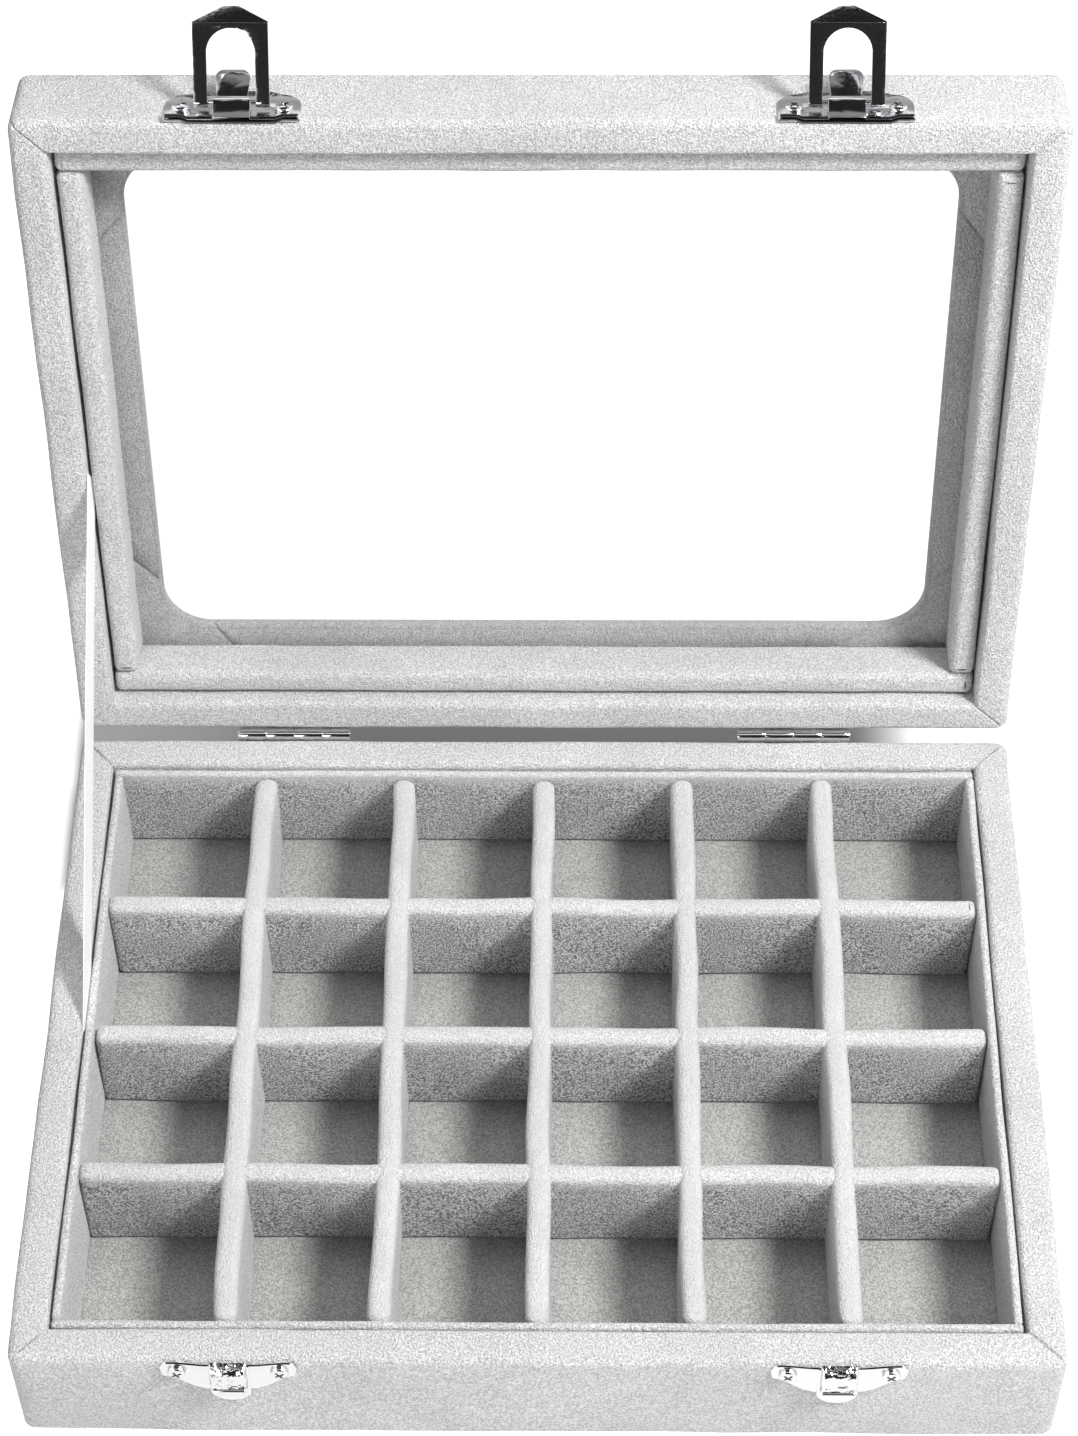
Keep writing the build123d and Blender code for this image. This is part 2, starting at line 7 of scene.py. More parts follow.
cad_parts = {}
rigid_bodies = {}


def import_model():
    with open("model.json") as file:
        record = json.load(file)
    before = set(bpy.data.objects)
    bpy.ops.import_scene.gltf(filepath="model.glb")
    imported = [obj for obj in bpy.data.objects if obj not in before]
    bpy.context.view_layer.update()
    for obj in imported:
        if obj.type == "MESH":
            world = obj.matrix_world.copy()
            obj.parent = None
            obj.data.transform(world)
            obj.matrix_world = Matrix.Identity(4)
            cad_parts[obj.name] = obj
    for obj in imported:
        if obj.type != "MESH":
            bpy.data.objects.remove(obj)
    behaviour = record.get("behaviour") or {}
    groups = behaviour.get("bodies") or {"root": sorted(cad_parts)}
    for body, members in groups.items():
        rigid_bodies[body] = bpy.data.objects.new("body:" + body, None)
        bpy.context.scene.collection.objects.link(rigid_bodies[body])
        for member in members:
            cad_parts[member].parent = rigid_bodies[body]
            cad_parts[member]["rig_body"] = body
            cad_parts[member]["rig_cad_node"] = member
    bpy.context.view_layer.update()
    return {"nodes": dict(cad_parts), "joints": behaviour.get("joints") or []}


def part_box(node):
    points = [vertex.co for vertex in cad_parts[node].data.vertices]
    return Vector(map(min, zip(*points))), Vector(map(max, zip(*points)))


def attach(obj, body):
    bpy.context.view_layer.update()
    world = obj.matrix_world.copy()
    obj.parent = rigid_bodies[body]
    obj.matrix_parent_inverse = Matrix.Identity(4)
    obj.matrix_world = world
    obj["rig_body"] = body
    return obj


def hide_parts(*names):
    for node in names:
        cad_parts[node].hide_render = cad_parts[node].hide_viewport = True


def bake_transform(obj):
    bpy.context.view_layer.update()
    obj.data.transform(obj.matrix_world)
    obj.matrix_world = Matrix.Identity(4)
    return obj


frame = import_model()


# Camera
# It looks down on the open case from in front. Its place and angles were fitted to the corners of
# both rims and to the cells, and the focal length is in pixels of the photograph.
camera_place = Vector((0.00864, -0.36758, 0.58259))
camera_turn = radians(1.239)
camera_tilt = radians(90 - 51.063)
camera_roll = radians(-0.822)
focal_pixels = 3281.9
image_height = 1436
camera = bpy.data.objects.new("camera", bpy.data.cameras.new("camera"))
bpy.context.scene.collection.objects.link(camera)
camera.matrix_world = (
    Matrix.Translation(camera_place)
    @ Matrix.Rotation(camera_turn, 4, "Z")
    @ Matrix.Rotation(camera_tilt, 4, "X")
    @ Matrix.Rotation(camera_roll, 4, "Z")
)
camera.data.sensor_width = 36
camera.data.lens = focal_pixels / image_height * 36
bpy.context.scene.camera = camera
bpy.context.scene.view_settings.view_transform = "Standard"


# Studio
# A white sweep that reads as pure white, with the case's shadow kept only close behind the hinges.
# One broad lamp stands high at the right, and dark cards give the bright metal something to mirror.
def linear(hex_colour):
    """The linear colour of an sRGB hex value."""
    parts = [int(hex_colour[i:i + 2], 16) / 255 for i in (0, 2, 4)]
    return [c / 12.92 if c <= 0.04045 else ((c + 0.055) / 1.055) ** 2.4 for c in parts] + [1.0]


def add_node(tree, kind, inputs=None, **settings):
    """Adds a node with its settings; an input is given a value, or an output to be linked from."""
    made = tree.nodes.new(kind)
    for name, value in settings.items():
        setattr(made, name, value)
    for name, value in (inputs or {}).items():
        if isinstance(value, bpy.types.NodeSocket):
            tree.links.new(value, made.inputs[name])
        else:
            made.inputs[name].default_value = value
    return made


def add_math(tree, operation, first, second):
    """One sum on two values."""
    return add_node(tree, "ShaderNodeMath", {0: first, 1: second}, operation=operation).outputs[0]


def ramp(tree, value, start, end, low, high):
    """Runs softly from low to high as the value goes from start to end."""
    made = add_node(
        tree,
        "ShaderNodeMapRange",
        {"Value": value, "From Min": start, "From Max": end, "To Min": low, "To Max": high},
        interpolation_type="SMOOTHSTEP",
    )
    return made.outputs["Result"]


room_light = 0.21
world = bpy.data.worlds.new("white_room")
bpy.context.scene.world = world
world.use_nodes = True
tree = world.node_tree
tree.nodes.clear()
path = add_node(tree, "ShaderNodeLightPath").outputs
plain = add_math(tree, "MAXIMUM", path["Is Camera Ray"], path["Is Transmission Ray"])
# Metal mirrors a studio: dark in front and above, with a narrow strip lamp, a dim soft one
# overhead and a pale wall behind. The stops run from the front horizon over the top to the back.
towards = add_node(tree, "ShaderNodeTexCoord").outputs["Generated"]
axes = add_node(tree, "ShaderNodeSeparateXYZ", {0: towards})
forward = add_math(tree, "MULTIPLY", axes.outputs["Y"], -1.0)
over = add_math(tree, "ARCTAN2", axes.outputs["Z"], forward)
over = add_math(tree, "DIVIDE", over, pi)
studio = add_node(tree, "ShaderNodeValToRGB", {"Fac": over})
stops = (
    (0.0, 0.02),
    (0.31, 0.012),
    (0.33, 0.95),
    (0.36, 0.95),
    (0.38, 0.012),
    (0.44, 0.012),
    (0.46, 0.16),
    (0.52, 0.19),
    (0.55, 0.012),
    (0.74, 0.012),
    (0.77, 0.80),
    (0.81, 0.70),
    (0.86, 0.24),
    (0.92, 0.22),
    (1.0, 0.35),
)
for place, level in stops:
    stop = studio.color_ramp.elements.new(place)
    stop.color = (level, level, level, 1)
for _ in range(2):
    ends = studio.color_ramp.elements
    ends.remove(next(stop for stop in ends if stop.color[0] in (0.0, 1.0)))
mirrored = add_math(tree, "MULTIPLY", studio.outputs["Color"], 2.0)
# Two bright cards, one at each side, draw a line along every upright edge of the metal
sideways = add_math(tree, "ABSOLUTE", axes.outputs["X"], 0.0)
mirrored = add_math(tree, "MAXIMUM", mirrored, ramp(tree, sideways, 0.42, 0.55, 0.0, 1.7))
lit = add_math(tree, "MAXIMUM", plain, room_light)
strength = add_node(
    tree,
    "ShaderNodeMix",
    {"Factor": path["Is Glossy Ray"], "A": lit, "B": mirrored},
).outputs["Result"]
room = add_node(tree, "ShaderNodeBackground", {"Color": linear("ffffff"), "Strength": strength})
add_node(tree, "ShaderNodeOutputWorld", {"Surface": room.outputs[0]})

sweep = bpy.data.materials.new("white_paper_sweep")
sweep.use_nodes = True
tree = sweep.node_tree
tree.nodes.clear()
place = add_node(tree, "ShaderNodeTexCoord").outputs["Object"]
axes = add_node(tree, "ShaderNodeSeparateXYZ", {0: place})
# The case's shadow shows in a band behind it, under the open lid. The rest is washed out by light
clear = add_math(
    tree,
    "MAXIMUM",
    ramp(tree, axes.outputs["X"], 0.068, 0.090, 0.0, 1.0),
    ramp(tree, axes.outputs["X"], -0.104, -0.108, 0.0, 1.0),
)
clear = add_math(tree, "MAXIMUM", clear, ramp(tree, axes.outputs["Y"], 0.108, 0.125, 0.0, 1.0))
clear = add_math(tree, "MAXIMUM", clear, ramp(tree, axes.outputs["Y"], 0.06, 0.05, 0.0, 1.0))
# A faint glow over the band's left end is painted light that lifts the shadow there
clear = add_math(tree, "MAXIMUM", clear, ramp(tree, axes.outputs["X"], -0.05, -0.085, 0.0, 0.14))
path = add_node(tree, "ShaderNodeLightPath").outputs
plain = add_math(tree, "MAXIMUM", path["Is Camera Ray"], path["Is Transmission Ray"])
mirrored = add_math(tree, "MULTIPLY", path["Is Glossy Ray"], 0.3)
# In front of the case the paper is painted dark for reflected rays only: a painted reflection of a
# dark room in the metal that faces forward, while to the camera it stays white
painted_dark_reflection = ramp(tree, axes.outputs["Y"], -0.20, -0.26, 0.0, 1.0)
dark = add_math(tree, "MULTIPLY", painted_dark_reflection, path["Is Glossy Ray"])
# Behind the case the paper is painted greyer, a painted shade that deepens the case's shadow there
painted_shade_behind = ramp(tree, axes.outputs["Y"], 0.05, 0.07, 0.0, 1.0)
pale = add_node(
    tree,
    "ShaderNodeMix",
    {"Factor": painted_shade_behind, "A": linear("f2f2f2"), "B": linear("bcbcbc")},
    data_type="RGBA",
)
mirrored = add_math(tree, "MULTIPLY", mirrored, add_math(tree, "SUBTRACT", 1.0, dark))
tone = add_node(
    tree,
    "ShaderNodeMix",
    {"Factor": dark, "A": pale.outputs[2], "B": linear("101010")},
    data_type="RGBA",
)
paper = add_node(tree, "ShaderNodeBsdfDiffuse", {"Color": tone.outputs[2]})
glow = add_math(tree, "MULTIPLY", clear, add_math(tree, "MAXIMUM", plain, mirrored))
white = add_node(tree, "ShaderNodeEmission", {"Color": linear("ffffff"), "Strength": glow})
both = add_node(tree, "ShaderNodeAddShader", {0: paper.outputs[0], 1: white.outputs[0]})
add_node(tree, "ShaderNodeOutputMaterial", {"Surface": both.outputs[0]})
bpy.ops.object.select_all(action="DESELECT")
bpy.ops.mesh.primitive_plane_add(size=6, location=(0, 0, -0.0003))
floor = bpy.context.object
floor.name = "floor"
floor.data.materials.append(sweep)


def lamp(name, place, size, watts):
    """A square soft lamp that faces the case."""
    data = bpy.data.lights.new(name, "AREA")
    data.size = size
    data.energy = watts
    lit = bpy.data.objects.new(name, data)
    bpy.context.scene.collection.objects.link(lit)
    lit.location = place
    lit.rotation_euler = (-Vector(place)).to_track_quat("-Z", "Y").to_euler()
    return lit


lamp("key_lamp", (0.53, -0.20, 0.82), 0.24, 9.8)
lamp("fill_lamp", (-0.55, -0.95, 0.26), 0.50, 3.0)
lamp("top_lamp", (-0.05, 0.30, 1.05), 0.50, 2.8).visible_glossy = False


# Velvet
# Short-pile light grey velvet, woven and brushed: the pile ends give a fine salt-and-pepper grain,
# and patches that were stroked another way are a shade lighter or darker.
def velvet(name, colour, grain, painted_low_shade=1.0, relief=0.0006):
    """A velvet of one colour. Grain is how strongly the single tufts stand out, the low shade is
    a painted shade, how much darker the pile is painted below the top edges of the base's strips,
    with the tops a little lighter, and relief the height of the pile."""
    material = bpy.data.materials.new(name)
    material.use_nodes = True
    tree = material.node_tree
    tree.nodes.clear()
    place = add_node(tree, "ShaderNodeTexCoord").outputs["Object"]
    # Tufts are drawn 0.3 mm across, coarser than real pile, so that they show
    tufts = add_node(
        tree,
        "ShaderNodeTexNoise",
        {"Vector": place, "Scale": 2900.0, "Detail": 1.0, "Roughness": 0.6},
    )
    clumps = add_node(
        tree,
        "ShaderNodeTexNoise",
        {"Vector": place, "Scale": 1700.0, "Detail": 1.0, "Roughness": 0.6},
    )
    # Stroked patches are 20 to 30 mm long
    patches = add_node(
        tree,
        "ShaderNodeTexNoise",
        {"Vector": place, "Scale": 42.0, "Detail": 3.0, "Roughness": 0.55},
    )
    pile_height = add_node(
        tree,
        "ShaderNodeMath",
        {0: clumps.outputs[0], 1: 0.35, 2: tufts.outputs[0]},
        operation="MULTIPLY_ADD",
    ).outputs[0]
    shade = ramp(tree, pile_height, 0.52, 0.83, 1.0 - grain, 1.0 + grain)
    stroke = ramp(tree, patches.outputs[0], 0.3, 0.7, 0.95, 1.04)
    level = add_math(tree, "MULTIPLY", shade, stroke)
    if painted_low_shade < 1.0:
        height = add_node(tree, "ShaderNodeSeparateXYZ", {0: place}).outputs["Z"]
        smooth_top = ramp(tree, height, 0.0215, 0.0262, 0.0, 0.75)
        smoothed = {"Factor": smooth_top, "A": shade, "B": 1.0}
        shade = add_node(tree, "ShaderNodeMix", smoothed).outputs[0]
        # Painted shade: the pile is painted darker low on the strips and a little lighter on their
        # tops
        painted_height_shade = ramp(tree, height, 0.0215, 0.0262, painted_low_shade, 1.04)
        level = add_math(tree, "MULTIPLY", shade, stroke)
        level = add_math(tree, "MULTIPLY", level, painted_height_shade)
    tint = add_node(
        tree,
        "ShaderNodeVectorMath",
        {0: linear(colour)[:3], "Scale": level},
        operation="SCALE",
    )
    bump = add_node(
        tree,
        "ShaderNodeBump",
        {"Height": pile_height, "Strength": 1.0, "Distance": relief},
    )
    pile = add_node(
        tree,
        "ShaderNodeBsdfPrincipled",
        {
            "Base Color": tint.outputs[0],
            "Roughness": 0.95,
            "Specular IOR Level": 0.1,
            "Sheen Weight": 0.2,
            "Sheen Roughness": 0.4,
            "Normal": bump.outputs[0],
        },
    )
    add_node(tree, "ShaderNodeOutputMaterial", {"Surface": pile.outputs[0]})
    return material


# Brushed velvet: pale, soft and evenly grained
grey_velvet = velvet("brushed_grey_velvet", "dddcdd", 0.25)


def new_block(name, low, high):
    """A block between two corners, ready to be shaped."""
    if bpy.context.mode != "OBJECT":
        bpy.ops.object.mode_set(mode="OBJECT")
    bpy.ops.object.select_all(action="DESELECT")
    bpy.ops.mesh.primitive_cube_add(size=1, location=(low + high) / 2, scale=high - low)
    bpy.context.object.name = name
    bpy.ops.object.transform_apply(location=True, rotation=True, scale=True)
    return bpy.context.object


def choose(piece, kind, test):
    """Selects, in edit mode, the points, edges or faces whose corner points pass the test."""
    bpy.ops.object.mode_set(mode="EDIT")
    bpy.ops.mesh.select_mode(type=kind)
    bpy.ops.mesh.select_all(action="DESELECT")
    bpy.ops.object.mode_set(mode="OBJECT")
    mesh = piece.data
    if kind == "VERT":
        for vertex in mesh.vertices:
            vertex.select = test([vertex.co])
    else:
        for item in mesh.edges if kind == "EDGE" else mesh.polygons:
            item.select = test([mesh.vertices[i].co for i in item.vertices])
    bpy.ops.object.mode_set(mode="EDIT")


def near(a, b):
    """True for two places less than 0.02 mm apart."""
    return abs(a - b) < 0.00002


def stand_for(piece, node, material):
    """Gives a finished piece its material and lets it stand for a node, on that node's body."""
    bpy.ops.object.mode_set(mode="OBJECT")
    piece.data.materials.clear()
    piece.data.materials.append(material)
    bpy.ops.object.shade_smooth_by_angle(angle=radians(40))
    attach(piece, frame["nodes"][node]["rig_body"])
    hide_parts(node)


# Base velvet
# One velvet skin goes up the walls, over the rim and down inside, cut and butted at 45 degrees in
# each corner, where it leaves a fine seam. Underneath it turns in and frames the bottom sheet.
wall = 0.0073
turn_in = 0.014
skin = 0.0006
corner_round = 0.0026
rim_round = 0.0018
inner_rim_round = 0.0012


def rounded(offset, segments=5):
    """Rounds the selected edges."""
    bpy.ops.mesh.bevel(offset=offset, segments=segments, profile=0.5, affect="EDGES")


def upright(points):
    """True for an edge that stands along Z."""
    return len(points) == 2 and near(points[0].x, points[1].x) and near(points[0].y, points[1].y)


def at_height(height):
    """A test for the faces or edges that lie at one height."""
    return lambda points: all(near(p.z, height) for p in points)


def hollow(piece, low, high, corner=0.0):
    """Cuts a block-shaped hollow, with rounded upright corners, out of a piece."""
    cutter = new_block("cutter", low, high)
    if corner:
        choose(cutter, "EDGE", upright)
        rounded(corner, 12)
    bpy.ops.object.mode_set(mode="OBJECT")
    bpy.ops.object.select_all(action="DESELECT")
    bpy.context.view_layer.objects.active = piece
    piece.select_set(True)
    cut = piece.modifiers.new("hollow", "BOOLEAN")
    cut.operation = "DIFFERENCE"
    cut.object = cutter
    bpy.ops.object.modifier_apply(modifier=cut.name)
    bpy.data.objects.remove(cutter)


def sliced(piece, axis, low, high, step):
    """Cuts a piece across an axis at even steps, so that its long faces can be uneven."""
    bpy.ops.object.mode_set(mode="EDIT")
    normal = Vector((0, 0, 0))
    normal[axis] = 1
    count = int((high - low) / step)
    for i in range(1, count):
        bpy.ops.mesh.select_all(action="SELECT")
        bpy.ops.mesh.bisect(plane_co=normal * (low + (high - low) * i / count), plane_no=normal)


def uneven(piece, amount, seed):
    """Moves the points of a piece by a slow wave, as hand-glued cloth over board."""
    bpy.ops.object.mode_set(mode="OBJECT")
    for vertex in piece.data.vertices:
        at = vertex.co * 60 + Vector((seed, seed * 0.7, 0))
        wave = [noise.noise(at + Vector((9 * i, 0, 0))) for i in range(3)]
        vertex.co += amount * Vector((wave[0], wave[1], 0.5 * wave[2]))


def creased(piece, start, end, push, width=0.0004):
    """Presses a fine line into the faces at the start's height, from start to end."""
    along = (end - start).normalized()
    across = Vector((-along.y, along.x, 0))
    length = (end - start).length
    for shift in (-width, 0, width):
        bpy.ops.object.mode_set(mode="EDIT")
        bpy.ops.mesh.select_all(action="SELECT")
        bpy.ops.mesh.bisect(plane_co=start + across * shift, plane_no=across)

    def on_line(points):
        p = points[0] - start
        within = -0.0001 < p.dot(along) < length
        return within and abs(p.dot(across)) < 0.00001 and abs(p.z) < 0.0012

    choose(piece, "VERT", on_line)
    bpy.ops.transform.translate(value=(0, 0, push))


def rim_edges(high, height, inner):
    """A test for the outer, or else the inner, edges of a rim at one height."""
    inner_x, inner_y = high.x - wall, high.y - wall

    def test(points):
        inside = [abs(p.x) < inner_x + 0.0001 and abs(p.y) < inner_y + 0.0001 for p in points]
        return all(near(p.z, height) for p in points) and all(side == inner for side in inside)

    return test


def walls_of_velvet(name, low, high, rim, hollow_low, hollow_high):
    """The skin of four walls with a rounded and mitred rim at one height."""
    piece = new_block(name, low, high)
    choose(piece, "EDGE", upright)
    rounded(corner_round, 6)
    hollow(piece, hollow_low, hollow_high)
    choose(piece, "EDGE", rim_edges(high, rim, False))
    rounded(rim_round, 6)
    choose(piece, "EDGE", rim_edges(high, rim, True))
    rounded(inner_rim_round, 5)
    sliced(piece, 0, low.x, high.x, 0.008)
    sliced(piece, 1, low.y, high.y, 0.008)
    inward = -1 if near(rim, high.z) else 1
    for x_side in (-1, 1):
        for y_side in (-1, 1):
            inner_corner = Vector((x_side * (high.x - wall), y_side * (high.y - wall), rim))
            outer_corner = Vector((x_side * high.x, y_side * high.y, rim))
            creased(piece, inner_corner, outer_corner, inward * 0.0005)
    uneven(piece, 0.0003, 3.0 + rim * 100)
    return piece


low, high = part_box("base_velvet_wrap")
felt_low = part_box("floor_felt")[0].z
inside = Vector((high.x - wall, high.y - wall, 0))
base_skin = walls_of_velvet(
    "base_velvet",
    low,
    high,
    high.z,
    Vector((-inside.x, -inside.y, felt_low)),
    Vector((inside.x, inside.y, high.z + wall)),
)
hollow(
    base_skin,
    Vector((low.x + turn_in, low.y + turn_in, low.z - skin)),
    Vector((high.x - turn_in, high.y - turn_in, low.z + skin)),
)
stand_for(base_skin, "base_velvet_wrap", grey_velvet)


# Liners and dividers of the base
# Strips of board with velvet glued over them, their edges rounded by the cloth. The long dividers
# run through with a soft end; the cross dividers sit in notches, a hair lower.
foot_round = 0.0011


def velvet_strip(node, low, high, end_round, top_round, rim):
    """A velvet-covered strip with rounded ends and a rounded edge at one height."""
    strip = new_block(node + "_velvet", low, high)
    choose(strip, "EDGE", upright)
    rounded(end_round, 5)
    choose(strip, "EDGE", at_height(rim))
    rounded(top_round, 5)
    # The cloth turns under the far edge and leaves a fine dark line at its foot
    choose(strip, "EDGE", at_height(low.z if near(rim, high.z) else high.z))
    rounded(foot_round, 4)
    size = high - low
    sliced(strip, 0 if size.x > size.y else 1, min(low.x, low.y), max(high.x, high.y), 0.004)
    return strip


# Coarsely grained velvet with a smooth top edge, painted darker low down and paler along the top:
# painted shade on the strips' sides and painted light on their top edges
shade_painted_velvet = velvet("grey_velvet_painted_shade", "dddcdd", 0.68, 0.86)
liner_round = 0.0008
for seed, side in enumerate(("front", "rear", "left", "right")):
    node = f"base_{side}_liner"
    low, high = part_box(node)
    strip = velvet_strip(node, low, high, 0.0006, liner_round, high.z)
    uneven(strip, 0.00022, seed * 3.7)
    # The rear liner has the velvet with painted shade low down
    pile = shade_painted_velvet if side == "rear" else grey_velvet
    stand_for(strip, node, pile)

# Smoothed velvet: a plain top edge over finely grained sides, with a faint painted shade on the
# sides and painted light on the top edge
divider_velvet = velvet("smoothed_grey_velvet", "dddcdd", 0.30, 0.97)
divider_round = 0.0016
for seed in range(5):
    node = f"long_divider_{seed + 1}"
    low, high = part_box(node)
    strip = velvet_strip(node, low, high, 0.0020, divider_round, high.z)
    uneven(strip, 0.0006, 20 + seed * 5.3)
    stand_for(strip, node, divider_velvet)
for seed in range(3):
    node = f"cross_divider_{seed + 1}"
    low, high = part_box(node)
    high.z -= 0.0003
    strip = velvet_strip(node, low, high, 0.0014, divider_round, high.z)
    uneven(strip, 0.0005, 60 + seed * 4.1)
    # The cross dividers have the velvet with painted shade low down
    stand_for(strip, node, shade_painted_velvet)


# Floor of the cells
# A thin felt sheet glued to the bottom board, and another that closes the underside. Pressed felt
# has no pile, so it looks flatter and a little greyer than the velvet on the dividers.
grey_felt = velvet("pressed_grey_felt", "afaeac", 0.28, relief=0.0003)
for node in ("floor_felt", "base_underside_sheet"):
    frame["nodes"][node].data.materials.clear()
    frame["nodes"][node].data.materials.append(grey_felt)


# Boards
# Grey-brown bookbinder's board under the cloth. Nothing of it shows but in a gap.
board = bpy.data.materials.new("bookbinders_board")
board.use_nodes = True
tree = board.node_tree
tree.nodes.clear()
place = add_node(tree, "ShaderNodeTexCoord").outputs["Object"]
fibres = add_node(tree, "ShaderNodeTexNoise", {"Vector": place, "Scale": 900.0, "Detail": 4.0})
tone = add_node(
    tree,
    "ShaderNodeMix",
    {"Factor": fibres.outputs[0], "A": linear("8d8273"), "B": linear("a99d8b")},
    data_type="RGBA",
)
body = add_node(
    tree,
    "ShaderNodeBsdfPrincipled",
    {"Base Color": tone.outputs[2], "Roughness": 0.85},
)
add_node(tree, "ShaderNodeOutputMaterial", {"Surface": body.outputs[0]})
for node, piece in frame["nodes"].items():
    if node.endswith("_board"):
        piece.data.materials.clear()
        piece.data.materials.append(board)


# Lid velvet
# The lid is made as the base is. Its pieces are shaped with the lid shut and then swung open about
# the hinge line, to the angle at which the ribbon holds it.
hinge = next(joint for joint in frame["joints"] if joint["name"] == "lid_hinge")
hinge_line = Vector(hinge["pos_m"])
open_angle = radians(hinge["range_deg"][1])
lid_swing = (
    Matrix.Translation(hinge_line)
    @ Matrix.Rotation(-open_angle, 4, "X")
    @ Matrix.Translation(-hinge_line)
)


def shut_box(node):
    """The lowest and highest corner that a node of the lid has with the lid shut."""
    back = lid_swing.inverted()
    points = [back @ vertex.co for vertex in frame["nodes"][node].data.vertices]
    low = Vector([min(p[axis] for p in points) for axis in range(3)])
    high = Vector([max(p[axis] for p in points) for axis in range(3)])
    return low, high


def swing_open(piece):
    """Turns a piece of the shut lid to the open lid."""
    bpy.ops.object.mode_set(mode="OBJECT")
    piece.data.transform(lid_swing)


low, high = shut_box("lid_velvet_wrap")
lid_skin = walls_of_velvet(
    "lid_velvet",
    low,
    high,
    low.z,
    Vector((-inside.x, -inside.y, low.z - wall)),
    Vector((inside.x, inside.y, high.z + wall)),
)
swing_open(lid_skin)
stand_for(lid_skin, "lid_velvet_wrap", grey_velvet)

lid_liner_round = 0.0018
for seed, side in enumerate(("front", "rear", "left", "right")):
    node = f"lid_{side}_liner"
    low, high = shut_box(node)
    strip = velvet_strip(node, low, high, 0.0014, lid_liner_round, low.z)
    uneven(strip, 0.00022, 80 + seed * 3.7)
    swing_open(strip)
    stand_for(strip, node, grey_velvet)


# Window velvet
# The velvet over the lid's top board goes round the edge of the window and is glued down inside,
# where its corners were cut and folded, which leaves a short slanting seam at each.
window_width = 0.1634
window_depth = 0.1166
window_round = 0.010
low, high = shut_box("lid_window_velvet")
window_frame = new_block("window_velvet", low, high)
choose(window_frame, "EDGE", upright)
rounded(corner_round, 6)
hollow(
    window_frame,
    Vector((-window_width / 2, -window_depth / 2, low.z - skin)),
    Vector((window_width / 2, window_depth / 2, high.z + skin)),
    window_round,
)


def round_window(points):
    """True for an edge of the window on the upper or the lower face."""
    level = all(near(p.z, low.z) for p in points) or all(near(p.z, high.z) for p in points)
    return level and all(
        abs(p.x) < window_width / 2 + 0.0001 and abs(p.y) < window_depth / 2 + 0.0001
        for p in points
    )


choose(window_frame, "EDGE", round_window)
rounded(0.0009, 4)
choose(
    window_frame,
    "EDGE",
    lambda e: all(near(p.z, high.z) for p in e)
    and all(abs(p.x) > high.x - wall or abs(p.y) > high.y - wall for p in e),
)
rounded(0.0006, 3)
fold_seams = (
    ((-87.3, 40.3), (-81.6, 46.4)),
    ((-71.2, 58.4), (-67.5, 64.0)),
    ((63.2, 63.4), (70.9, 58.4)),
    ((81.6, 46.7), (87.6, 41.3)),
    ((-87.0, -40.0), (-81.5, -46.4)),
    ((81.4, -47.2), (87.4, -39.0)),
)
for start, end in fold_seams:
    start, end = (Vector((x / 1000, y / 1000, low.z)) for x, y in (start, end))
    creased(window_frame, start, end, 0.0005)
swing_open(window_frame)
stand_for(window_frame, "lid_window_velvet", grey_velvet)


# Pane
# Thin clear float glass, held behind the window by the liners.
clear_glass = bpy.data.materials.new("clear_float_glass")
clear_glass.use_nodes = True
tree = clear_glass.node_tree
tree.nodes.clear()
gloss = add_node(
    tree,
    "ShaderNodeBsdfPrincipled",
    {
        "Base Color": linear("fbfbfb"),
        "Roughness": 0.02,
        "IOR": 1.5,
        "Transmission Weight": 1.0,
    },
)
straight = add_node(tree, "ShaderNodeBsdfTransparent", {"Color": linear("f3f3f3")})
mixed = add_node(
    tree,
    "ShaderNodeMixShader",
    {0: 0.93, 1: gloss.outputs[0], 2: straight.outputs[0]},
)
add_node(tree, "ShaderNodeOutputMaterial", {"Surface": mixed.outputs[0]})
frame["nodes"]["window_glass"].data.materials.clear()
frame["nodes"]["window_glass"].data.materials.append(clear_glass)


# Plated metal
# Thin steel sheet, pressed and bright nickel plated: mirror-like and faintly wavy, with dull
# scuffs. Its press leaves every edge a little soft.
bright_nickel = bpy.data.materials.new("bright_nickel_plate")
bright_nickel.use_nodes = True
tree = bright_nickel.node_tree
tree.nodes.clear()
place = add_node(tree, "ShaderNodeTexCoord").outputs["Object"]
waves = add_node(tree, "ShaderNodeTexNoise", {"Vector": place, "Scale": 260.0, "Detail": 2.0})
scuffs = add_node(tree, "ShaderNodeTexNoise", {"Vector": place, "Scale": 2400.0, "Detail": 4.0})
dull = add_node(
    tree,
    "ShaderNodeMapRange",
    {"Value": scuffs.outputs[0], "From Min": 0.35, "From Max": 0.7, "To Min": 0.05, "To Max": 0.16},
)
bump = add_node(
    tree,
    "ShaderNodeBump",
    {"Height": waves.outputs[0], "Strength": 0.35, "Distance": 0.0003},
)
plate = add_node(
    tree,
    "ShaderNodeBsdfPrincipled",
    {
        "Base Color": linear("cfcfd1"),
        "Metallic": 1.0,
        "Roughness": dull.outputs[0],
        "Normal": bump.outputs[0],
    },
)
add_node(tree, "ShaderNodeOutputMaterial", {"Surface": plate.outputs[0]})


